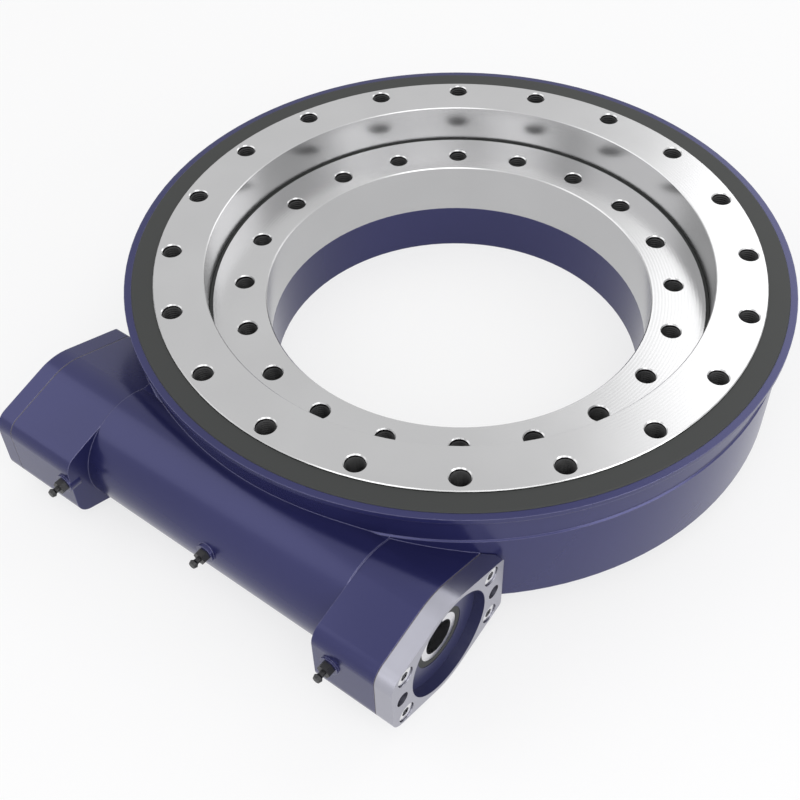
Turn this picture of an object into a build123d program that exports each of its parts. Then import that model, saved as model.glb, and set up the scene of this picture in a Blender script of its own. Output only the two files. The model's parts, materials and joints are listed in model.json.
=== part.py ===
from build123d import *
import math
import os

os.makedirs("parts", exist_ok=True)

# Frame: origin on the slewing axis, on the housing's bottom face. +Z up, worm along X on the -Y side.

# ---- driving dimensions, mm ----
total_height = 112.0        # bottom face to outer ring top face
bore_radius = 144.5         # clear centre bore

ring_outer_radius = 224.1   # outer ring flange
ring_inner_radius = 187.2   # outer ring bore
ring_bolt_circle = 425.5
bolt_count = 20
bolt_hole_radius = 7.0      # tap drill of M16
ring_hole_depth = 30.0
hole_chamfer = 0.8
flange_height = 43.0        # full-diameter part of the outer ring above the gear

inner_ring_radius = 184.9
inner_ring_drop = 30.2      # inner ring top face below the outer ring top face
inner_ring_height = 42.3
inner_bolt_circle = 324.0

ball_radius = 10.0
ball_count = 48
ball_height_in_ring = 19.5  # ball centre above the inner ring's lower face
race_clearance = 0.3
spacer_length = 3.4
spacer_radius = 7.5

gear_teeth = 102
gear_module = 4.2
worm_distance = 237.5       # slewing axis to worm axis
worm_height = 43.5
gear_reach = 22.0           # gear band above the worm axis
flank_angle = 20.0
tip_clearance = 1.0
gear_tip_trim = 0.25
backlash = 1.5              # total clearance across a tooth space

wall_radius = 240.7
wall_thickness = 5.0
upper_wall_step = 1.0
ledge_height = 82.0
rim_radius = 244.7
rim_height = 5.4
rim_drop = 2.1              # rim top below the outer ring top face
seal_thickness = 6.4
seal_drop = 1.3
seal_outer_radius = 239.5
lip_clearance = 0.25
floor_bottom = 23.0
floor_thickness = 6.0
pad_radius = 206.0
cavity_side_clearance = 1.1  # inner ring seat boss to outer ring bore
bottom_clearance = 1.5

tube_radius = 42.3
web_depth = 36.0            # web below the worm axis
end_disc_radius = 41.0
lobe_reach = 57.5           # worm axis to the lobe's outer face
lobe_half_height = 25.0
lobe_corner = 3.0           # on the ring side
lobe_outer_corner = 13.0
motor_face = 165.5          # machined face, from the slewing axis along X
blind_face = 183.5
plate_thickness = 13.0
gasket_thickness = 0.5
motor_block_start = 104.0
blind_block_start = 112.0

worm_bore_radius = 30.0
bearing_radius = 31.0
bearing_width = 18.0
bearing_seat_depth = 20.0
journal_radius = 17.5
collar_radius = 22.0
collar_length = 6.0
worm_thread_length = 106.0
pilot_radius = 37.5
pilot_depth = 8.0
oil_seal_radius = 22.0
oil_seal_width = 7.0
seal_running_clearance = 0.1
end_gap = 0.6               # worm end face below the pilot floor
drive_bore_radius = 12.5
drive_bore_depth = 48.0
key_width = 8.0
key_rise = 3.3
lock_nut_radius = 24.0
lock_nut_width = 9.0

plate_screw_y = 44.0
plate_screw_z = 21.0
plate_screw_radius = 4.0
plate_screw_head_radius = 6.5
plate_screw_head = 8.0
plate_screw_sink = 9.0
plate_screw_length = 15.0
socket_radius = 3.4
socket_depth = 4.0
motor_hole_offset = 47.5
motor_hole_radius = 5.1
motor_hole_depth = 8.0
case_relief = 0.5           # flange and gasket to the case wall

nipple_offset = 118.0
nipple_rise = 5.0           # above the worm axis
nipple_boss_radius = 7.0
nipple_boss_height = 1.5
nipple_thread_radius = 3.0
nipple_hex = 5.0
nipple_hex_height = 5.0
nipple_neck_radius = 2.0
nipple_head_radius = 3.2

floor_screw_count = 10
floor_screw_radius = 5.0
floor_screw_head_radius = 8.0
floor_screw_head = 10.0
floor_screw_sink = 11.0
floor_screw_grip = 16.0
fill_plug_radius = 11.0
fill_plug_angle = 261.0
plug_pin_radius = 3.0
plug_pin_length = 12.0
plug_pin_circle = 152.0
drain_plug_radius = 8.0
drain_plug_length = 9.0
drain_plug_angle = 60.0

# ---- worked out from them ----
inner_ring_top = total_height - inner_ring_drop
seat_height = inner_ring_top - inner_ring_height
race_circle = (inner_ring_radius + ring_inner_radius) / 2
race_radius = ball_radius + race_clearance
race_height = seat_height + ball_height_in_ring
gear_pitch_radius = gear_teeth * gear_module / 2
gear_tip_radius = gear_pitch_radius + gear_module - gear_tip_trim
worm_pitch_radius = worm_distance - gear_pitch_radius
worm_tip_radius = worm_pitch_radius + gear_module
gear_root_radius = worm_distance - worm_tip_radius - tip_clearance
worm_root_radius = worm_distance - gear_pitch_radius - gear_module - tip_clearance
worm_lead = math.pi * gear_module
lead_angle = math.degrees(math.atan(gear_module / (2 * worm_pitch_radius)))
floor_top = floor_bottom + floor_thickness
ring_bottom = floor_top + bottom_clearance
seat_boss_radius = ring_inner_radius - cavity_side_clearance - bottom_clearance
seal_bottom = total_height - seal_drop - seal_thickness
rim_top = total_height - rim_drop
cavity_radius = wall_radius - wall_thickness
motor_end = motor_face - plate_thickness - gasket_thickness
blind_end = -(blind_face - plate_thickness - gasket_thickness)
motor_seat = motor_end - bearing_seat_depth
blind_seat = blind_end + bearing_seat_depth
nipple_height = worm_height + nipple_rise
worm_motor_end = motor_face - pilot_depth - end_gap
lock_nut_x = blind_seat - bearing_width - lock_nut_width
worm_blind_end = lock_nut_x - 1.0
screw_spots = [(y, z) for y in (-plate_screw_y, plate_screw_y) for z in (-plate_screw_z, plate_screw_z)]


def worm_plane(x):
    # local x along +Y, local y along +Z, normal along +X
    return Plane(origin=(x, -worm_distance, worm_height), x_dir=(0, 1, 0), z_dir=(1, 0, 0))


def end_outline():
    # two lobes whose long edges are tangent to the centre disc
    corner_angle = math.atan2(lobe_half_height, lobe_reach)
    corner_distance = math.hypot(lobe_half_height, lobe_reach)
    touch_angle = corner_angle + math.acos(end_disc_radius / corner_distance)
    touch_y = end_disc_radius * math.cos(touch_angle)
    touch_z = end_disc_radius * math.sin(touch_angle)
    with BuildSketch() as outline:
        with BuildLine():
            ThreePointArc((touch_y, touch_z), (0, end_disc_radius), (-touch_y, touch_z))
            Polyline(
                (-touch_y, touch_z),
                (-lobe_reach, lobe_half_height),
                (-lobe_reach, -lobe_half_height),
                (-touch_y, -touch_z),
            )
            ThreePointArc((-touch_y, -touch_z), (0, -end_disc_radius), (touch_y, -touch_z))
            Polyline(
                (touch_y, -touch_z),
                (lobe_reach, -lobe_half_height),
                (lobe_reach, lobe_half_height),
                (touch_y, touch_z),
            )
        make_face()
        fillet(outline.vertices().group_by(Axis.X)[0], radius=lobe_outer_corner)
        fillet(outline.vertices().group_by(Axis.X)[-1], radius=lobe_corner)
    return outline.sketch


end_profile = end_outline()


def label_and_export(piece, name):
    piece.label = name
    export_step(piece, f"parts/{name}.step")


# ---- gear housing: case, worm tube, end blocks, web and mounting pad in one casting ----
case_outline = [
    (bore_radius, 0),
    (pad_radius, 0),
    (pad_radius, floor_bottom),
    (wall_radius, floor_bottom),
    (wall_radius, ledge_height),
    (wall_radius - upper_wall_step, ledge_height + upper_wall_step),
    (wall_radius - upper_wall_step, rim_top - rim_height),
    (rim_radius, rim_top - rim_height + 1.5),
    (rim_radius, rim_top),
    (seal_outer_radius, rim_top),
    (seal_outer_radius, seal_bottom),
    (cavity_radius, seal_bottom),
    (cavity_radius, floor_top),
    (seat_boss_radius, floor_top),
    (seat_boss_radius, seat_height),
    (bore_radius, seat_height),
]
drain_circle = (pad_radius + wall_radius) / 2
nipple_places = (
    ("grease_nipple_rear", -nipple_offset, lobe_reach),
    ("grease_nipple_middle", 0.0, tube_radius),
    ("grease_nipple_input", nipple_offset, lobe_reach),
)


def nipple_foot(x, reach):
    # face of a nipple's boss, looking outwards along -Y
    return Plane(
        origin=(x, -worm_distance - reach - nipple_boss_height, nipple_height),
        x_dir=(1, 0, 0),
        z_dir=(0, -1, 0),
    )


with BuildPart() as ring_case:
    with BuildSketch(Plane.XZ):
        with BuildLine():
            Polyline(*case_outline, close=True)
        make_face()
    revolve(axis=Axis.Z)
    with BuildSketch(worm_plane(0)):
        Circle(worm_bore_radius)
    extrude(amount=pad_radius / 2, both=True, mode=Mode.SUBTRACT)
    with BuildSketch():
        with PolarLocations(inner_bolt_circle / 2, floor_screw_count, start_angle=27.0):
            Circle(floor_screw_radius)
    extrude(amount=seat_height, mode=Mode.SUBTRACT)
    with BuildSketch():
        with PolarLocations(inner_bolt_circle / 2, floor_screw_count, start_angle=27.0):
            Circle(floor_screw_head_radius + 0.5)
    extrude(amount=floor_screw_sink, mode=Mode.SUBTRACT)
    with BuildSketch(Plane.XY.offset(floor_bottom)):
        with PolarLocations(drain_circle, 1, start_angle=drain_plug_angle):
            Circle(drain_plug_radius)
    extrude(amount=floor_thickness, mode=Mode.SUBTRACT)

with BuildPart() as worm_case:
    with BuildSketch(worm_plane(-blind_block_start)):
        Circle(tube_radius)
        with Locations((0, -web_depth)):
            Rectangle(lobe_reach, web_depth + ledge_height - worm_height, align=(Align.MIN, Align.MIN))
    extrude(amount=motor_block_start + blind_block_start)
    with BuildSketch(worm_plane(motor_block_start)):
        add(end_profile)
    extrude(amount=motor_end - motor_block_start)
    with BuildSketch(worm_plane(blind_end)):
        add(end_profile)
    extrude(amount=-blind_end - blind_block_start)
    for place_name, x, reach in nipple_places:
        with BuildSketch(nipple_foot(x, reach)):
            Circle(nipple_boss_radius)
        extrude(amount=-(nipple_boss_height + 8.0))
    with BuildSketch(Plane.XY.offset(floor_bottom)):
        Circle(cavity_radius)
    extrude(amount=total_height, mode=Mode.SUBTRACT)
    with BuildSketch(Plane.XY):
        Circle(pad_radius - 2.0)
    extrude(amount=total_height, mode=Mode.SUBTRACT)
    with BuildSketch(worm_plane(blind_end)):
        Circle(worm_bore_radius)
    extrude(amount=motor_end - blind_end, mode=Mode.SUBTRACT)
    for seat_face, depth in ((motor_end, -bearing_seat_depth), (blind_end, bearing_seat_depth)):
        with BuildSketch(worm_plane(seat_face)):
            Circle(bearing_radius)
        extrude(amount=depth, mode=Mode.SUBTRACT)
    for place_name, x, reach in nipple_places:
        with BuildSketch(nipple_foot(x, reach)):
            Circle(nipple_thread_radius)
        extrude(amount=-(reach + nipple_boss_height - worm_bore_radius + 2.0), mode=Mode.SUBTRACT)

with BuildPart() as gear_housing:
    add(ring_case.part)
    add(worm_case.part)
    for seat_face, inward in ((motor_end, -1), (blind_end, 1)):
        with BuildSketch(worm_plane(seat_face)):
            with Locations(*screw_spots):
                Circle(plate_screw_radius)
        extrude(amount=inward * (plate_screw_length - plate_thickness + plate_screw_sink), mode=Mode.SUBTRACT)
label_and_export(gear_housing.part, "gear_housing")


# ---- ring with gear teeth ----
def tooth_space_section():
    # trapezoid space of the gear, seen along the axis, local x along the pitch line, local y outwards
    half_pitch_space = worm_lead / 4 + backlash / 4
    slope = math.tan(math.radians(flank_angle + 90 / gear_teeth))
    outer = gear_tip_radius + 1.0 - gear_pitch_radius
    inner = gear_root_radius - gear_pitch_radius
    with BuildSketch() as section:
        with BuildLine():
            Polyline(
                (-half_pitch_space - slope * outer, outer),
                (half_pitch_space + slope * outer, outer),
                (half_pitch_space + slope * inner, inner),
                (-half_pitch_space - slope * inner, inner),
                close=True,
            )
        make_face()
    return section.sketch


with BuildPart() as tooth_space:
    # local y points outwards (-Y), the cutter leans with the worm's lead angle
    lean = math.radians(lead_angle)
    reach = gear_reach + 2.0
    axis_dir = (math.sin(lean), 0, math.cos(lean))
    start = (-reach * math.sin(lean), -gear_pitch_radius, worm_height - reach * math.cos(lean))
    cutter_plane = Plane(origin=start, x_dir=(-math.cos(lean), 0, math.sin(lean)), z_dir=axis_dir)
    with BuildSketch(cutter_plane):
        add(tooth_space_section())
    extrude(amount=2 * reach)

with BuildPart() as outer_ring:
    with BuildSketch(Plane.XZ):
        with BuildLine():
            Polyline(
                (ring_inner_radius, ring_bottom),
                (gear_tip_radius - 1.0, ring_bottom),
                (gear_tip_radius, ring_bottom + 1.0),
                (gear_tip_radius, total_height - flange_height),
                (ring_outer_radius, total_height - flange_height + 1.5),
                (ring_outer_radius, total_height - 0.6),
                (ring_outer_radius - 0.6, total_height),
                (ring_inner_radius + 0.6, total_height),
                (ring_inner_radius, total_height - 0.6),
                close=True,
            )
        make_face()
    revolve(axis=Axis.Z)
    with BuildSketch(Plane.XZ):
        with Locations((race_circle, race_height)):
            Circle(race_radius)
    revolve(axis=Axis.Z, mode=Mode.SUBTRACT)
    with BuildSketch(Plane.XY.offset(total_height)):
        with PolarLocations(ring_bolt_circle / 2, bolt_count):
            Circle(bolt_hole_radius)
    extrude(amount=-ring_hole_depth, mode=Mode.SUBTRACT)
    with PolarLocations(0, gear_teeth):
        add(tooth_space.part, mode=Mode.SUBTRACT)
    chamfer(outer_ring.faces().sort_by(Axis.Z)[-1].edges().filter_by(
        lambda edge: abs(edge.length - 2 * math.pi * bolt_hole_radius) < 0.5), length=hole_chamfer)
label_and_export(outer_ring.part, "outer_ring")


# ---- inner ring, balls and spacers ----
with BuildPart() as inner_ring:
    with BuildSketch(Plane.XZ):
        with BuildLine():
            Polyline(
                (bore_radius, seat_height),
                (inner_ring_radius, seat_height),
                (inner_ring_radius, inner_ring_top - 0.6),
                (inner_ring_radius - 0.6, inner_ring_top),
                (bore_radius + 0.8, inner_ring_top),
                (bore_radius, inner_ring_top - 0.8),
                close=True,
            )
        make_face()
    revolve(axis=Axis.Z)
    with BuildSketch(Plane.XZ):
        with Locations((race_circle, race_height)):
            Circle(race_radius)
    revolve(axis=Axis.Z, mode=Mode.SUBTRACT)
    with BuildSketch(Plane.XY.offset(seat_height)):
        with PolarLocations(inner_bolt_circle / 2, bolt_count):
            Circle(bolt_hole_radius)
    extrude(amount=inner_ring_height, mode=Mode.SUBTRACT)
    with BuildSketch(Plane.XY.offset(seat_height)):
        with PolarLocations(inner_bolt_circle / 2, floor_screw_count, start_angle=27.0):
            Circle(floor_screw_radius)
    extrude(amount=floor_screw_grip, mode=Mode.SUBTRACT)
    plug_dir = Vector(1, 0, 0).rotate(Axis.Z, fill_plug_angle)
    plug_start = plug_dir * (bore_radius - 2.0) + Vector(0, 0, race_height)
    with BuildSketch(Plane(origin=plug_start, z_dir=plug_dir)):
        Circle(fill_plug_radius)
    extrude(amount=race_circle - bore_radius, mode=Mode.SUBTRACT)
    with BuildSketch(Plane.XY.offset(seat_height)):
        with PolarLocations(plug_pin_circle, 1, start_angle=fill_plug_angle):
            Circle(plug_pin_radius)
    extrude(amount=plug_pin_length, mode=Mode.SUBTRACT)
    chamfer(inner_ring.faces().filter_by(Plane.XY).sort_by(Axis.Z)[-1].edges().filter_by(
        lambda edge: abs(edge.length - 2 * math.pi * bolt_hole_radius) < 0.5), length=hole_chamfer)
label_and_export(inner_ring.part, "inner_ring")

with BuildPart() as ball_fill_plug:
    plug_face = Plane(origin=plug_dir * bore_radius + Vector(0, 0, race_height), z_dir=plug_dir)
    with BuildSketch(plug_face):
        Circle(fill_plug_radius)
    extrude(amount=race_circle - bore_radius - 2.0)
    with BuildSketch(Plane.XY):
        Circle(bore_radius)
    extrude(amount=total_height, mode=Mode.SUBTRACT)
    with BuildSketch(Plane.XZ):
        with Locations((race_circle, race_height)):
            Circle(race_radius)
    revolve(axis=Axis.Z, mode=Mode.SUBTRACT)
    with BuildSketch(Plane.XY.offset(seat_height)):
        with PolarLocations(plug_pin_circle, 1, start_angle=fill_plug_angle):
            Circle(plug_pin_radius)
    extrude(amount=plug_pin_length, mode=Mode.SUBTRACT)
label_and_export(ball_fill_plug.part, "ball_fill_plug")

with BuildPart() as plug_pin:
    with BuildSketch(Plane.XY.offset(seat_height)):
        with PolarLocations(plug_pin_circle, 1, start_angle=fill_plug_angle):
            Circle(plug_pin_radius)
    extrude(amount=plug_pin_length)
label_and_export(plug_pin.part, "plug_pin")

with BuildPart() as bearing_balls:
    with Locations((0, 0, race_height)):
        with PolarLocations(race_circle, ball_count):
            Sphere(ball_radius)
label_and_export(bearing_balls.part, "bearing_balls")

with BuildPart() as ball_spacers:
    with BuildSketch(Plane.XZ):
        with Locations((race_circle, race_height)):
            Circle(spacer_radius)
    extrude(amount=spacer_length / 2, both=True)
    with Locations((0, 0, race_height)):
        with PolarLocations(race_circle, 2, start_angle=-180 / ball_count, angular_range=720 / ball_count):
            Sphere(ball_radius + 0.1, mode=Mode.SUBTRACT)
spacer = ball_spacers.part.solids()[0]
with BuildPart() as ball_spacers:
    with PolarLocations(0, ball_count, start_angle=180 / ball_count):
        add(spacer)
label_and_export(ball_spacers.part, "ball_spacers")


# ---- seals ----
with BuildPart() as top_seal:
    with BuildSketch(Plane.XZ):
        with BuildLine():
            Polyline(
                (ring_outer_radius + lip_clearance, seal_bottom + 2.4),
                (cavity_radius - 1.0, seal_bottom),
                (seal_outer_radius, seal_bottom),
                (seal_outer_radius, seal_bottom + seal_thickness - 0.6),
                (seal_outer_radius - 0.6, seal_bottom + seal_thickness),
                (ring_outer_radius + lip_clearance, seal_bottom + seal_thickness),
                close=True,
            )
        make_face()
    revolve(axis=Axis.Z)
label_and_export(top_seal.part, "top_seal")

for seal_name, level in (("upper_race_seal", inner_ring_top - 5.0), ("lower_race_seal", seat_height)):
    with BuildPart() as race_seal:
        with BuildSketch(Plane.XY.offset(level)):
            Circle(ring_inner_radius - lip_clearance)
            Circle(inner_ring_radius, mode=Mode.SUBTRACT)
        extrude(amount=4.0)
    label_and_export(race_seal.part, seal_name)


# ---- input flange, end cover, gaskets ----
screw_cuts = ((plate_screw_head_radius + 0.6, plate_screw_sink), (plate_screw_radius, plate_thickness))

with BuildPart() as input_flange:
    with BuildSketch(worm_plane(motor_face)):
        add(end_profile)
    extrude(amount=-plate_thickness)
    with BuildSketch(worm_plane(motor_face)):
        Circle(pilot_radius)
    extrude(amount=-pilot_depth, mode=Mode.SUBTRACT)
    with BuildSketch(worm_plane(motor_face)):
        Circle(oil_seal_radius)
    extrude(amount=-plate_thickness, mode=Mode.SUBTRACT)
    for cut_radius, cut_depth in screw_cuts:
        with BuildSketch(worm_plane(motor_face)):
            with Locations(*screw_spots):
                Circle(cut_radius)
        extrude(amount=-cut_depth, mode=Mode.SUBTRACT)
    with BuildSketch(worm_plane(motor_face)):
        with Locations((-motor_hole_offset, 0), (motor_hole_offset, 0)):
            Circle(motor_hole_radius)
    extrude(amount=-motor_hole_depth, mode=Mode.SUBTRACT)
    with BuildSketch(Plane.XY):
        Circle(wall_radius + case_relief)
    extrude(amount=total_height, mode=Mode.SUBTRACT)
    with BuildSketch(worm_plane(motor_seat + bearing_width)):
        Circle(bearing_radius)
        Circle(oil_seal_radius, mode=Mode.SUBTRACT)
    extrude(amount=motor_face - plate_thickness - motor_seat - bearing_width)
label_and_export(input_flange.part, "input_flange")

with BuildPart() as end_cover:
    with BuildSketch(worm_plane(-blind_face)):
        add(end_profile)
    extrude(amount=plate_thickness)
    with BuildSketch(worm_plane(blind_seat - bearing_width)):
        Circle(bearing_radius)
    extrude(amount=-(blind_seat - bearing_width + blind_face - plate_thickness))
    with BuildSketch(worm_plane(blind_seat - bearing_width)):
        Circle(lock_nut_radius + 2.0)
    extrude(amount=-(lock_nut_width + 3.5), mode=Mode.SUBTRACT)
    for cut_radius, cut_depth in screw_cuts:
        with BuildSketch(worm_plane(-blind_face)):
            with Locations(*screw_spots):
                Circle(cut_radius)
        extrude(amount=cut_depth, mode=Mode.SUBTRACT)
label_and_export(end_cover.part, "end_cover")

for gasket_name, start_x in (("input_gasket", motor_end), ("cover_gasket", blind_end - gasket_thickness)):
    with BuildPart() as gasket:
        with BuildSketch(worm_plane(start_x)):
            add(end_profile)
            Circle(bearing_radius, mode=Mode.SUBTRACT)
            with Locations(*screw_spots):
                Circle(plate_screw_radius, mode=Mode.SUBTRACT)
        extrude(amount=gasket_thickness)
        with BuildSketch(Plane.XY):
            Circle(wall_radius + case_relief)
        extrude(amount=total_height, mode=Mode.SUBTRACT)
    label_and_export(gasket.part, gasket_name)

for screw_name, face_x, inward in (("input_flange_screws", motor_face, -1), ("end_cover_screws", -blind_face, 1)):
    head_seat = face_x + inward * plate_screw_sink
    with BuildPart() as plate_screws:
        with BuildSketch(worm_plane(head_seat)):
            with Locations(*screw_spots):
                Circle(plate_screw_head_radius)
        extrude(amount=-inward * plate_screw_head)
        with BuildSketch(worm_plane(head_seat)):
            with Locations(*screw_spots):
                Circle(plate_screw_radius)
        extrude(amount=inward * (plate_screw_length - 1.0))
        with BuildSketch(worm_plane(head_seat - inward * plate_screw_head)):
            with Locations(*screw_spots):
                RegularPolygon(socket_radius, 6)
        extrude(amount=inward * socket_depth, mode=Mode.SUBTRACT)
    label_and_export(plate_screws.part, screw_name)

with BuildPart() as oil_seal:
    with BuildSketch(worm_plane(motor_face - pilot_depth - 0.4)):
        Circle(oil_seal_radius)
        Circle(journal_radius + seal_running_clearance, mode=Mode.SUBTRACT)
    extrude(amount=-oil_seal_width)
label_and_export(oil_seal.part, "input_oil_seal")


# ---- worm shaft ----
with BuildPart() as worm_shaft:
    with BuildSketch(worm_plane(worm_blind_end)):
        Circle(journal_radius)
    extrude(amount=worm_motor_end - worm_blind_end)
    with BuildSketch(worm_plane(blind_seat + collar_length)):
        Circle(worm_root_radius)
    extrude(amount=motor_seat - blind_seat - 2 * collar_length)
    for collar_start in (blind_seat, motor_seat - collar_length):
        with BuildSketch(worm_plane(collar_start)):
            Circle(collar_radius)
        extrude(amount=collar_length)
    with BuildSketch(worm_plane(worm_motor_end)):
        Circle(drive_bore_radius)
        with Locations((0, 0)):
            Rectangle(key_width, drive_bore_radius + key_rise, align=(Align.CENTER, Align.MIN))
    extrude(amount=-drive_bore_depth, mode=Mode.SUBTRACT)
worm_core = worm_shaft.part

with BuildPart() as worm_thread:
    turns = round(worm_thread_length / worm_lead)
    thread_start = -turns * worm_lead / 2
    half_crest = worm_lead / 4 - backlash / 4
    slope = math.tan(math.radians(flank_angle))
    sink = 0.4
    tip_half = half_crest - slope * gear_module
    root_half = half_crest + slope * (worm_pitch_radius - worm_root_radius + sink)
    turn_start = -turns * 180.0
    with BuildLine(mode=Mode.PRIVATE) as path:
        Helix(worm_lead, turns * worm_lead, worm_pitch_radius, center=(0, 0, thread_start))
    with BuildSketch(Plane.XZ) as thread_section:
        with BuildLine():
            Polyline(
                (worm_root_radius - sink, thread_start - root_half),
                (worm_tip_radius, thread_start - tip_half),
                (worm_tip_radius, thread_start + tip_half),
                (worm_root_radius - sink, thread_start + root_half),
                close=True,
            )
        make_face()
    sweep(path=path.wires()[0], is_frenet=True)
thread_solid = worm_thread.part.solids()[0]
# helix axis onto X: local Z goes to +X and local X to +Y, then onto the worm axis
half_turns = Plane(origin=(0, -worm_distance, worm_height), x_dir=(0, 1, 0), z_dir=(1, 0, 0))
placed_thread = half_turns.from_local_coords(thread_solid)
with BuildPart() as worm_shaft:
    add(worm_core)
    add(placed_thread)
label_and_export(worm_shaft.part, "worm_shaft")

with BuildPart() as lock_nut:
    with BuildSketch(worm_plane(lock_nut_x)):
        Circle(lock_nut_radius)
        Circle(journal_radius, mode=Mode.SUBTRACT)
        with PolarLocations(lock_nut_radius, 4):
            Rectangle(5.0, 6.0, mode=Mode.SUBTRACT)
    extrude(amount=lock_nut_width)
label_and_export(lock_nut.part, "bearing_lock_nut")


# ---- taper roller bearings ----
def taper_bearing(name, back_x, outward):
    # back_x is the shoulder end, the cone opens outwards along X
    roller_count = 15
    roller_mid = (journal_radius + bearing_radius) / 2 + 0.4
    roller_half = 6.0
    roller_radius = 3.0
    tilt = 14.0
    lean_y = math.tan(math.radians(tilt))
    mid_x = bearing_width / 2

    def section(points):
        with BuildSketch() as shape:
            with BuildLine():
                Polyline(*points, close=True)
            make_face()
        return shape.sketch

    def turned(points):
        # points are (distance from the shoulder, radius)
        face = Plane(
            origin=(back_x, -worm_distance, worm_height),
            x_dir=(outward, 0, 0),
            z_dir=(0, 0, outward),
        )
        spin_axis = Axis((back_x, -worm_distance, worm_height), (1, 0, 0))
        with BuildPart() as ring:
            with BuildSketch(face):
                add(section(points))
            revolve(axis=spin_axis)
        return ring.part

    def line_at(x, gap):
        return roller_mid - lean_y * (x - mid_x) + gap

    outer_gap = (roller_radius + 0.15) / math.cos(math.radians(tilt))
    inner_gap = -roller_radius / math.cos(math.radians(tilt)) - 0.05
    cup = turned([
        (2.0, bearing_radius),
        (bearing_width, bearing_radius),
        (bearing_width, line_at(bearing_width, outer_gap)),
        (2.0, line_at(2.0, outer_gap)),
    ])
    label_and_export(cup, f"{name}_bearing_cup")
    cone = turned([
        (0.0, journal_radius),
        (bearing_width - 1.0, journal_radius),
        (bearing_width - 1.0, line_at(bearing_width - 1.0, inner_gap)),
        (1.0, line_at(1.0, inner_gap)),
        (0.0, line_at(1.0, inner_gap)),
    ])
    label_and_export(cone, f"{name}_bearing_cone")
    roller_dir = Vector(outward * math.cos(math.radians(tilt)), -math.sin(math.radians(tilt)), 0)
    roller_start = Vector(back_x + outward * mid_x, -worm_distance + roller_mid, worm_height)
    with BuildPart() as one_roller:
        with BuildSketch(Plane(origin=roller_start - roller_dir * roller_half, z_dir=roller_dir)):
            Circle(roller_radius)
        extrude(amount=2 * roller_half)
    spin_axis = Axis((back_x, -worm_distance, worm_height), (1, 0, 0))
    copies = [one_roller.part.rotate(spin_axis, 360 / roller_count * step) for step in range(roller_count)]
    with BuildPart() as rollers:
        for copy_solid in copies:
            add(copy_solid)
    label_and_export(rollers.part, f"{name}_bearing_rollers")
    cage_solid = turned([
        (1.5, line_at(1.5, 0.7)),
        (bearing_width - 1.5, line_at(bearing_width - 1.5, 0.7)),
        (bearing_width - 1.5, line_at(bearing_width - 1.5, -0.7)),
        (1.5, line_at(1.5, -0.7)),
    ])
    with BuildPart() as pocket:
        with BuildSketch(Plane(origin=roller_start - roller_dir * (roller_half + 0.2), z_dir=roller_dir)):
            Circle(roller_radius + 0.1)
        extrude(amount=2 * roller_half + 0.4)
    pockets = [pocket.part.rotate(spin_axis, 360 / roller_count * step) for step in range(roller_count)]
    with BuildPart() as cage:
        add(cage_solid)
        for pocket_solid in pockets:
            add(pocket_solid, mode=Mode.SUBTRACT)
    label_and_export(cage.part, f"{name}_bearing_cage")


taper_bearing("input", motor_seat, 1)
taper_bearing("rear", blind_seat, -1)


# ---- grease nipples, plugs and floor screws ----
for place_name, x, reach in nipple_places:
    foot = nipple_foot(x, reach)
    with BuildPart() as nipple:
        with BuildSketch(foot):
            RegularPolygon(nipple_hex, 6)
        extrude(amount=nipple_hex_height)
        with BuildSketch(foot):
            Circle(nipple_thread_radius)
        extrude(amount=-6.0)
        with BuildSketch(foot.offset(nipple_hex_height)):
            Circle(nipple_neck_radius)
        extrude(amount=3.0)
        with BuildSketch(foot.offset(nipple_hex_height + 3.0)):
            Circle(nipple_neck_radius)
        with BuildSketch(foot.offset(nipple_hex_height + 4.5)):
            Circle(nipple_head_radius)
        loft()
        with BuildSketch(foot.offset(nipple_hex_height + 4.5)):
            Circle(nipple_head_radius)
        extrude(amount=2.2, taper=18)
    label_and_export(nipple.part, place_name)

with BuildPart() as floor_screws:
    with BuildSketch(Plane.XY.offset(floor_screw_sink)):
        with PolarLocations(inner_bolt_circle / 2, floor_screw_count, start_angle=27.0):
            Circle(floor_screw_head_radius)
    extrude(amount=-floor_screw_head)
    with BuildSketch(Plane.XY.offset(floor_screw_sink)):
        with PolarLocations(inner_bolt_circle / 2, floor_screw_count, start_angle=27.0):
            Circle(floor_screw_radius)
    extrude(amount=seat_height - floor_screw_sink + floor_screw_grip - 1.0)
    with BuildSketch(Plane.XY.offset(floor_screw_sink - floor_screw_head)):
        with PolarLocations(inner_bolt_circle / 2, floor_screw_count, start_angle=27.0):
            RegularPolygon(socket_radius + 1.2, 6)
    extrude(amount=socket_depth + 1.0, mode=Mode.SUBTRACT)
label_and_export(floor_screws.part, "floor_screws")

with BuildPart() as drain_plug:
    with BuildSketch(Plane.XY.offset(floor_bottom)):
        with PolarLocations(drain_circle, 1, start_angle=drain_plug_angle):
            Circle(drain_plug_radius)
    extrude(amount=floor_thickness)
    with BuildSketch(Plane.XY.offset(floor_bottom)):
        with PolarLocations(drain_circle, 1, start_angle=drain_plug_angle):
            RegularPolygon(drain_plug_radius + 2.5, 6)
    extrude(amount=-(drain_plug_length - floor_thickness + 2.0))
label_and_export(drain_plug.part, "drain_plug")
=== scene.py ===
import bpy
import bmesh
import json
import math
from mathutils import Matrix, Vector


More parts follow.
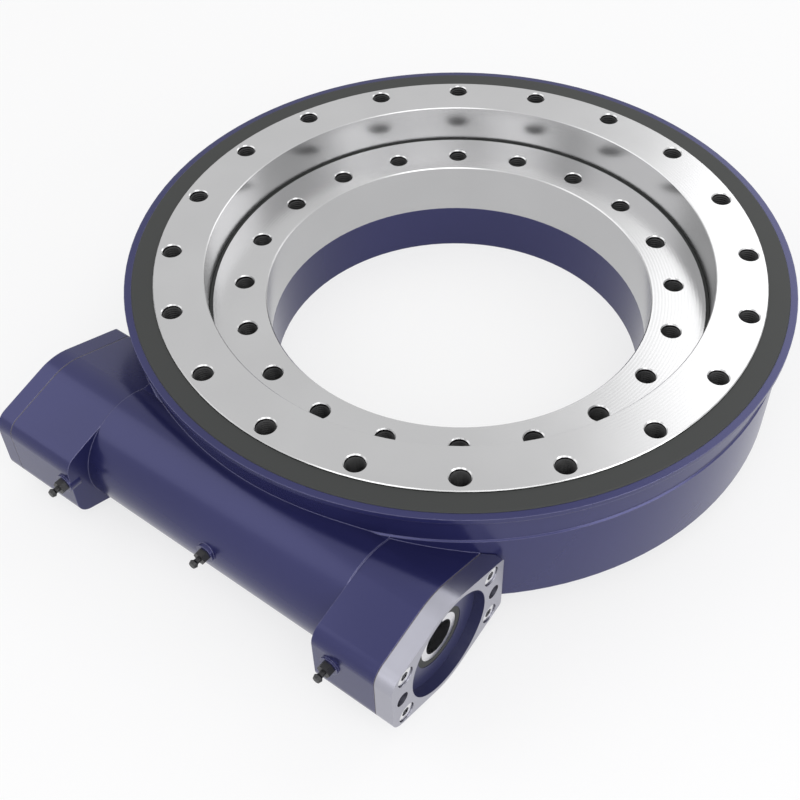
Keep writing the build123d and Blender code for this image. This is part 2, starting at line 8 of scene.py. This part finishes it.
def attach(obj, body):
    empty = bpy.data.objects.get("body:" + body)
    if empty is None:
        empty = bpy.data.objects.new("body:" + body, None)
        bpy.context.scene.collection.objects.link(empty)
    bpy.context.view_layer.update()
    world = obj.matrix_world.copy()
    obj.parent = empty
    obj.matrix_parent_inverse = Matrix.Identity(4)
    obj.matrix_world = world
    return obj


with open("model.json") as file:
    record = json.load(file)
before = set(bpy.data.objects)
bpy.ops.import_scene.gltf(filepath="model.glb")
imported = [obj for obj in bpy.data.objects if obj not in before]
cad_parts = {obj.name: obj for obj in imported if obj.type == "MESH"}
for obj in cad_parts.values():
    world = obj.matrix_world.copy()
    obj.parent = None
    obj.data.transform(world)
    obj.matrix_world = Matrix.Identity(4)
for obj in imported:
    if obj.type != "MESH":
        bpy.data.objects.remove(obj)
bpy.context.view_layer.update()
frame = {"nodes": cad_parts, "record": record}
nodes = frame["nodes"]
mounts = {mount["name"]: mount for mount in frame["record"]["mounts"]}
print("frame loaded,", len(nodes), "nodes")


def feed(tree, socket, source):
    # a socket takes another node's output or a plain value
    if isinstance(source, bpy.types.NodeSocket):
        tree.links.new(source, socket)
    else:
        socket.default_value = source


def mathStep(tree, operation, *sources):
    node = tree.nodes.new("ShaderNodeMath")
    node.operation = operation
    for socket, source in zip(node.inputs, sources):
        feed(tree, socket, source)
    return node.outputs[0]


def vectorStep(tree, operation, *sources):
    node = tree.nodes.new("ShaderNodeVectorMath")
    node.operation = operation
    for socket, source in zip(node.inputs, sources):
        feed(tree, socket, source)
    return node.outputs["Value" if operation in ("LENGTH", "DOT_PRODUCT") else "Vector"]


def mixColours(tree, factor, first, second):
    node = tree.nodes.new("ShaderNodeMix")
    node.data_type = "RGBA"
    feed(tree, node.inputs[0], factor)
    feed(tree, node.inputs[6], first)
    feed(tree, node.inputs[7], second)
    return node.outputs[2]


def noiseStep(tree, place, scale, detail):
    node = tree.nodes.new("ShaderNodeTexNoise")
    node.inputs["Detail"].default_value = detail
    feed(tree, node.inputs["Vector"], place)
    feed(tree, node.inputs["Scale"], scale)
    return node.outputs["Fac"]


def opaque(colour):
    return (*colour, 1.0)


def makeMaterial(name):
    material = bpy.data.materials.new(name)
    material.use_nodes = True
    tree = material.node_tree
    return material, tree, tree.nodes["Principled BSDF"]


surface = {"cloudDetail": 4.0, "grainDetail": 2.0, "bumpDistance": 0.0005, "coatRoughness": 0.12}


def surfaceGroup():
    # soft colour and roughness changes plus a fine bump, shared by every finish
    group = bpy.data.node_groups.new("surfaceChange", "ShaderNodeTree")
    sockets = (
        ("Colour", "INPUT", "NodeSocketColor"), ("Deep", "INPUT", "NodeSocketColor"),
        ("Scale", "INPUT", "NodeSocketFloat"), ("Roughness", "INPUT", "NodeSocketFloat"),
        ("Spread", "INPUT", "NodeSocketFloat"), ("Grain", "INPUT", "NodeSocketFloat"),
        ("Colour Out", "OUTPUT", "NodeSocketColor"), ("Roughness Out", "OUTPUT", "NodeSocketFloat"),
        ("Height Out", "OUTPUT", "NodeSocketFloat"),
    )
    for name, way, kind in sockets:
        group.interface.new_socket(name=name, in_out=way, socket_type=kind)
    given = group.nodes.new("NodeGroupInput").outputs
    result = group.nodes.new("NodeGroupOutput").inputs
    place = group.nodes.new("ShaderNodeTexCoord").outputs["Object"]
    cloud = noiseStep(group, place, given["Scale"], surface["cloudDetail"])
    grain = noiseStep(group, place, given["Grain"], surface["grainDetail"])
    roughness = mathStep(group, "MULTIPLY_ADD", cloud, given["Spread"], given["Roughness"])
    feed(group, result["Colour Out"], mixColours(group, cloud, given["Deep"], given["Colour"]))
    feed(group, result["Roughness Out"], roughness)
    feed(group, result["Height Out"], grain)
    return group


surfaceChange = surfaceGroup()

# sizes in metres, noise scales per metre
usual = {
    "scale": 9.0, "spread": 0.08, "grain": 900.0, "bump": 0.05, "metallic": 0.0, "coat": 0.0,
    "deepShare": 0.86,
}
bluePaint = {
    "colour": (0.030, 0.031, 0.125), "deep": (0.016, 0.018, 0.080), "roughness": 0.26,
    "metallic": 0.40, "coat": 0.12, "scale": 6.0, "spread": 0.06, "grain": 420.0, "bump": 0.04,
}
ringSteel = {
    "colour": (0.55, 0.55, 0.555), "roughness": 0.24, "metallic": 1.0, "scale": 14.0, "spread": 0.05,
    "grain": 1200.0, "bump": 0.02,
}
flangeSteel = {
    "colour": (0.42, 0.42, 0.48), "roughness": 0.34, "metallic": 1.0, "scale": 40.0, "grain": 1500.0,
}
bearingSteel = {"colour": (0.80, 0.80, 0.82), "roughness": 0.15, "metallic": 1.0, "bump": 0.01}
screwSteel = {
    "colour": (0.80, 0.80, 0.82), "roughness": 0.15, "metallic": 1.0, "scale": 60.0, "bump": 0.03,
}
sealRubber = {
    "colour": (0.021, 0.023, 0.022), "roughness": 0.62, "scale": 30.0, "grain": 1600.0, "bump": 0.12,
}
spacerPlastic = {"colour": (0.55, 0.50, 0.36), "roughness": 0.5}
blackOxide = {
    "colour": (0.012, 0.012, 0.014), "roughness": 0.42, "scale": 50.0, "grain": 1300.0, "bump": 0.08,
}
gasketSheet = {"colour": (0.09, 0.08, 0.075), "roughness": 0.8, "scale": 80.0, "bump": 0.2}
# near-black painted shade for the thread ridges inside the bolt holes, the same colour as the painted shade
# on the hole walls
threadPaintedShade = {"colour": (0.006, 0.006, 0.007), "roughness": 0.55, "scale": 60.0}


def dress(name, look):
    look = {**usual, **look}
    material, tree, shader = makeMaterial(name)
    finish = tree.nodes.new("ShaderNodeGroup")
    finish.node_tree = surfaceChange
    deep = look.get("deep") or tuple(value * look["deepShare"] for value in look["colour"])
    finish.inputs["Colour"].default_value = opaque(look["colour"])
    finish.inputs["Deep"].default_value = opaque(deep)
    finish.inputs["Scale"].default_value = look["scale"]
    finish.inputs["Roughness"].default_value = look["roughness"] - look["spread"] / 2
    finish.inputs["Spread"].default_value = look["spread"]
    finish.inputs["Grain"].default_value = look["grain"]
    relief = tree.nodes.new("ShaderNodeBump")
    relief.inputs["Strength"].default_value = look["bump"]
    relief.inputs["Distance"].default_value = surface["bumpDistance"]
    feed(tree, shader.inputs["Base Color"], finish.outputs["Colour Out"])
    feed(tree, shader.inputs["Roughness"], finish.outputs["Roughness Out"])
    feed(tree, relief.inputs["Height"], finish.outputs["Height Out"])
    feed(tree, shader.inputs["Normal"], relief.outputs["Normal"])
    shader.inputs["Metallic"].default_value = look["metallic"]
    shader.inputs["Coat Weight"].default_value = look["coat"]
    shader.inputs["Coat Roughness"].default_value = surface["coatRoughness"]
    return material


def coverWhere(tree, mask, colour):
    # where the mask is 1, a bare metal surface turns into a plain colour
    shader = tree.nodes["Principled BSDF"]
    bare = shader.inputs["Base Color"].links[0].from_socket
    feed(tree, shader.inputs["Base Color"], mixColours(tree, mask, bare, opaque(colour)))
    feed(tree, shader.inputs["Metallic"], mathStep(tree, "SUBTRACT", 1.0, mask))


# hole is the near-black painted shade colour for the walls inside the bolt holes
turning = {
    "pitch": 2600.0, "groove": 0.00002, "strength": 0.25, "holeMargin": 0.0002, "steepest": 0.4,
    "hole": (0.006, 0.006, 0.007),
}


def turnedSteel(name, mountName):
    # fine concentric tool marks about the slewing axis, and painted shade: the walls inside the bolt holes
    # are covered with a plain near-black colour
    material = dress(name, ringSteel)
    tree = material.node_tree
    sizes = mounts[mountName]["dims"]
    holeCircle = sizes["pcd_mm"] / 2000
    holeReach = sizes["hole_r_mm"] / 1000 + turning["holeMargin"]
    place = tree.nodes.new("ShaderNodeTexCoord").outputs["Object"]
    reach = vectorStep(tree, "LENGTH", vectorStep(tree, "MULTIPLY", place, (1.0, 1.0, 0.0)))
    ripple = mathStep(tree, "SINE", mathStep(tree, "MULTIPLY", reach, turning["pitch"]))
    marks = tree.nodes.new("ShaderNodeBump")
    marks.inputs["Strength"].default_value = turning["strength"]
    marks.inputs["Distance"].default_value = turning["groove"]
    feed(tree, marks.inputs["Height"], ripple)
    feed(tree, tree.nodes["Principled BSDF"].inputs["Normal"], marks.outputs["Normal"])
    split = tree.nodes.new("ShaderNodeSeparateXYZ")
    feed(tree, split.inputs[0], tree.nodes.new("ShaderNodeNewGeometry").outputs["True Normal"])
    nearHole = mathStep(tree, "COMPARE", reach, holeCircle, holeReach)
    onWall = mathStep(tree, "COMPARE", split.outputs["Z"], 0.0, turning["steepest"])
    # painted shade: steep walls near the bolt circle turn near-black and non-metallic
    coverWhere(tree, mathStep(tree, "MULTIPLY", nearHole, onWall), turning["hole"])
    return material


# colour and reach of the painted highlight along sharp corners of the paint
edgeHighlight = {"colour": (0.12, 0.12, 0.23), "width": 0.0009, "samples": 4, "flat": 0.995, "sharp": 0.90}


def paintedEdgeHighlight(material):
    # painted highlight: sharp corners of the paint get a paler line of colour mixed in, and the bevel's
    # rounded normals feed the bump
    tree = material.node_tree
    shader = tree.nodes["Principled BSDF"]
    rounded = tree.nodes.new("ShaderNodeBevel")
    rounded.samples = edgeHighlight["samples"]
    rounded.inputs["Radius"].default_value = edgeHighlight["width"]
    straight = tree.nodes.new("ShaderNodeNewGeometry").outputs["Normal"]
    edge = tree.nodes.new("ShaderNodeMapRange")
    edge.inputs["From Min"].default_value = edgeHighlight["flat"]
    edge.inputs["From Max"].default_value = edgeHighlight["sharp"]
    feed(tree, edge.inputs["Value"], vectorStep(tree, "DOT_PRODUCT", rounded.outputs["Normal"], straight))
    painted = shader.inputs["Base Color"].links[0].from_socket
    relief = shader.inputs["Normal"].links[0].from_node
    highlighted = mixColours(tree, edge.outputs["Result"], painted, opaque(edgeHighlight["colour"]))
    feed(tree, shader.inputs["Base Color"], highlighted)
    feed(tree, relief.inputs["Normal"], rounded.outputs["Normal"])


boreWall = {"colour": (0.028, 0.030, 0.085), "margin": 0.0002}


def paintedBore(name, mount):
    # everything nearer to the worm axis than the pilot bore's wall keeps the paint, so the face is bare
    material = dress(name, flangeSteel)
    tree = material.node_tree
    centred = tree.nodes.new("ShaderNodeMapping")
    centred.vector_type = "POINT"
    centred.inputs["Location"].default_value = [-value for value in mount["pos_m"]]
    feed(tree, centred.inputs["Vector"], tree.nodes.new("ShaderNodeTexCoord").outputs["Object"])
    across = vectorStep(tree, "MULTIPLY", centred.outputs["Vector"], (0.0, 1.0, 1.0))
    boreReach = mount["dims"]["r_mm"] / 1000 + boreWall["margin"]
    inside = mathStep(tree, "LESS_THAN", vectorStep(tree, "LENGTH", across), boreReach)
    coverWhere(tree, inside, boreWall["colour"])
    return material


finishes = {
    "blue_paint": dress("gearBluePaint", bluePaint),
    "ring_steel": turnedSteel("turnedOuterSteel", "outer_bolts"),
    "flange_steel": dress("milledFlangeSteel", flangeSteel),
    "bearing_steel": dress("groundBearingSteel", bearingSteel),
    "seal_rubber": dress("sealRubber", sealRubber),
    "spacer_plastic": dress("spacerPlastic", spacerPlastic),
    "screw_steel": dress("brightScrewSteel", screwSteel),
    "black_oxide": dress("blackOxide", blackOxide),
    "gasket": dress("gasketSheet", gasketSheet),
}
paintedEdgeHighlight(finishes["blue_paint"])
slots = {part["node"]: part["material_slot"] for part in frame["record"]["subparts"]}
for nodeName, node in nodes.items():
    node.data.materials.clear()
    node.data.materials.append(finishes[slots[nodeName]])
nodes["inner_ring"].data.materials[0] = turnedSteel("turnedInnerSteel", "inner_bolts")
nodes["input_flange"].data.materials[0] = paintedBore("inputFlangeSteel", mounts["motor_pilot"])
print("finishes on", len(nodes), "nodes")

thread = {
    "radius": 0.0069, "depth": 0.0009, "pitch": 0.002, "turns": 12, "steps": 20, "start": 0.0012,
    "halfWidth": 0.40,
}


def threadCoil(name):
    # one ridge that winds down a hole from its mouth
    mesh = bpy.data.meshes.new(name)
    shape = bmesh.new()
    foot = thread["pitch"] * thread["halfWidth"]
    rings = []
    for step in range(thread["turns"] * thread["steps"] + 1):
        angle = 2 * math.pi * step / thread["steps"]
        drop = -thread["start"] - thread["pitch"] * step / thread["steps"]
        points = (
            (thread["radius"], drop + foot),
            (thread["radius"] - thread["depth"], drop),
            (thread["radius"], drop - foot),
        )
        rings.append([shape.verts.new((r * math.cos(angle), r * math.sin(angle), z)) for r, z in points])
    for near, far in zip(rings, rings[1:]):
        for edge in range(3):
            after = (edge + 1) % 3
            shape.faces.new((near[edge], near[after], far[after], far[edge]))
    shape.faces.new(rings[0][::-1])
    shape.faces.new(rings[-1])
    bmesh.ops.recalc_face_normals(shape, faces=shape.faces)
    shape.to_mesh(mesh)
    shape.free()
    return bpy.data.objects.new(name, mesh)


def repeatOnCircle(name, coil, mount, material, body):
    # the coil is set once in each hole of a bolt circle
    tree = bpy.data.node_groups.new(name + "Nodes", "GeometryNodeTree")
    tree.interface.new_socket(name="Geometry", in_out="OUTPUT", socket_type="NodeSocketGeometry")
    values = (
        ("Count", "NodeSocketInt", mount["dims"]["count"]),
        ("Radius", "NodeSocketFloat", mount["dims"]["pcd_mm"] / 2000),
        ("Level", "NodeSocketFloat", mount["pos_m"][2]),
    )
    inputs = [
        (tree.interface.new_socket(name=label, in_out="INPUT", socket_type=kind).identifier, value)
        for label, kind, value in values
    ]
    new = tree.nodes.new
    given = new("NodeGroupInput").outputs
    circle = new("GeometryNodeMeshCircle")
    feed(tree, circle.inputs["Vertices"], given["Count"])
    feed(tree, circle.inputs["Radius"], given["Radius"])
    lift = new("ShaderNodeCombineXYZ")
    feed(tree, lift.inputs["Z"], given["Level"])
    source = new("GeometryNodeObjectInfo")
    source.inputs["Object"].default_value = coil
    place = new("GeometryNodeInstanceOnPoints")
    feed(tree, place.inputs["Points"], circle.outputs["Mesh"])
    feed(tree, place.inputs["Instance"], source.outputs["Geometry"])
    move = new("GeometryNodeTransform")
    feed(tree, move.inputs["Geometry"], place.outputs["Instances"])
    feed(tree, move.inputs["Translation"], lift.outputs["Vector"])
    realize = new("GeometryNodeRealizeInstances")
    feed(tree, realize.inputs["Geometry"], move.outputs["Geometry"])
    setFinish = new("GeometryNodeSetMaterial")
    setFinish.inputs["Material"].default_value = material
    feed(tree, setFinish.inputs["Geometry"], realize.outputs["Geometry"])
    feed(tree, new("NodeGroupOutput").inputs["Geometry"], setFinish.outputs["Geometry"])
    host = bpy.data.objects.new(name + "Host", bpy.data.meshes.new(name + "Host"))
    bpy.context.scene.collection.objects.link(host)
    modifier = host.modifiers.new("repeat", "NODES")
    modifier.node_group = tree
    for identifier, value in inputs:
        modifier[identifier] = value
    bpy.context.view_layer.update()
    evaluated = host.evaluated_get(bpy.context.evaluated_depsgraph_get())
    mesh = bpy.data.meshes.new_from_object(evaluated)
    piece = bpy.data.objects.new(name, mesh)
    bpy.context.scene.collection.objects.link(piece)
    bpy.data.objects.remove(host)
    if not mesh.materials:
        mesh.materials.append(material)
    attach(piece, body)


coil = threadCoil("holeThread")
# the thread ridges are coloured near-black as painted shade
threadShade = dress("threadPaintedShade", threadPaintedShade)
repeatOnCircle("outer_hole_threads", coil, mounts["outer_bolts"], threadShade, "ring")
repeatOnCircle("inner_hole_threads", coil, mounts["inner_bolts"], threadShade, "base")
bpy.data.objects.remove(coil)
print("hole threads made")

paleFloor = {
    "side": 30.0, "drop": 0.0005, "colour": (0.86, 0.86, 0.87), "roughness": 0.9,
    "white": 0.72,  # share of plain white that the camera and mirrored rays see
}


def anyRay(tree):
    # 1 for camera, glossy and transmission rays, 0 for the rays that light the object
    path = tree.nodes.new("ShaderNodeLightPath").outputs
    mirrored = mathStep(tree, "MAXIMUM", path["Is Glossy Ray"], path["Is Transmission Ray"])
    return mathStep(tree, "MAXIMUM", mirrored, path["Is Camera Ray"])


def mixShaders(tree, factor, first, second):
    node = tree.nodes.new("ShaderNodeMixShader")
    feed(tree, node.inputs[0], factor)
    feed(tree, node.inputs[1], first)
    feed(tree, node.inputs[2], second)
    return node.outputs[0]


def makeFloor():
    reach, level = paleFloor["side"], 0
    corners = [(-reach, -reach, level), (reach, -reach, level), (reach, reach, level), (-reach, reach, level)]
    mesh = bpy.data.meshes.new("floor")
    mesh.from_pydata(corners, [], [(0, 1, 2, 3)])
    floor = bpy.data.objects.new("floor", mesh)
    floor.location.z = -paleFloor["drop"]
    bpy.context.scene.collection.objects.link(floor)
    material, tree, shader = makeMaterial("paleFloor")
    shader.inputs["Base Color"].default_value = opaque(paleFloor["colour"])
    shader.inputs["Roughness"].default_value = paleFloor["roughness"]
    glow = tree.nodes.new("ShaderNodeEmission")
    glow.inputs["Color"].default_value = opaque((1.0, 1.0, 1.0))
    shown = mathStep(tree, "MULTIPLY", anyRay(tree), paleFloor["white"])
    floorMix = mixShaders(tree, shown, shader.outputs[0], glow.outputs[0])
    feed(tree, tree.nodes["Material Output"].inputs["Surface"], floorMix)
    mesh.materials.append(material)


lamps = {
    "key": {"place": (1.3, -1.0, 2.2), "size": 1.8, "power": 14.0},
    "fill": {"place": (-1.6, -0.9, 1.6), "size": 2.2, "power": 11.0},
    "side": {"place": (2.0, -0.1, 0.7), "size": 1.4, "power": 16.0},
    "front": {"place": (0.3, -2.1, 1.1), "size": 1.4, "power": 9.0},
    "back": {"place": (0.2, 1.9, 1.5), "size": 1.8, "power": 12.0},
}


def makeLamp(name, lamp):
    light = bpy.data.lights.new(name, "AREA")
    light.shape = "DISK"
    light.size = lamp["size"]
    light.energy = lamp["power"]
    holder = bpy.data.objects.new(name, light)
    holder.location = lamp["place"]
    holder.rotation_euler = (-Vector(lamp["place"])).to_track_quat("-Z", "Y").to_euler()
    bpy.context.scene.collection.objects.link(holder)


softWorld = {"colour": (1.0, 1.0, 1.0), "strength": 0.55}


def makeWorld():
    world = bpy.data.worlds.new("softWorld")
    bpy.context.scene.world = world
    world.use_nodes = True
    tree = world.node_tree
    background = tree.nodes["Background"]
    background.inputs["Color"].default_value = opaque(softWorld["colour"])
    background.inputs["Strength"].default_value = softWorld["strength"]
    showWhite = tree.nodes.new("ShaderNodeBackground")
    showWhite.inputs["Color"].default_value = opaque(softWorld["colour"])
    worldMix = mixShaders(tree, anyRay(tree), background.outputs[0], showWhite.outputs[0])
    feed(tree, tree.nodes["World Output"].inputs["Surface"], worldMix)


camera = {
    "place": (0.3936, -0.5612, 0.6936), "azimuth": 37.44, "elevation": 47.16, "roll": -0.57,
    "lens": 54.44, "sensor": 36.0, "shift": (-0.0272, -0.0029),
}


def makeCamera():
    azimuth, elevation, roll = (math.radians(camera[key]) for key in ("azimuth", "elevation", "roll"))
    forward = Vector((-math.sin(azimuth) * math.cos(elevation), math.cos(azimuth) * math.cos(elevation),
                      -math.sin(elevation)))
    level = forward.cross(Vector((0, 0, 1))).normalized()
    above = level.cross(forward)
    right = level * math.cos(roll) + above * math.sin(roll)
    turn = Matrix((right, right.cross(forward), -forward)).transposed().to_4x4()
    eye = bpy.data.cameras.new("camera")
    eye.lens = camera["lens"]
    eye.sensor_width = camera["sensor"]
    eye.shift_x, eye.shift_y = camera["shift"]
    holder = bpy.data.objects.new("camera", eye)
    holder.matrix_world = Matrix.Translation(camera["place"]) @ turn
    bpy.context.scene.collection.objects.link(holder)
    bpy.context.scene.camera = holder


makeFloor()
for name, lamp in lamps.items():
    makeLamp(name, lamp)
makeWorld()
makeCamera()
bpy.context.scene.view_settings.view_transform = "Standard"

print("scene ready")
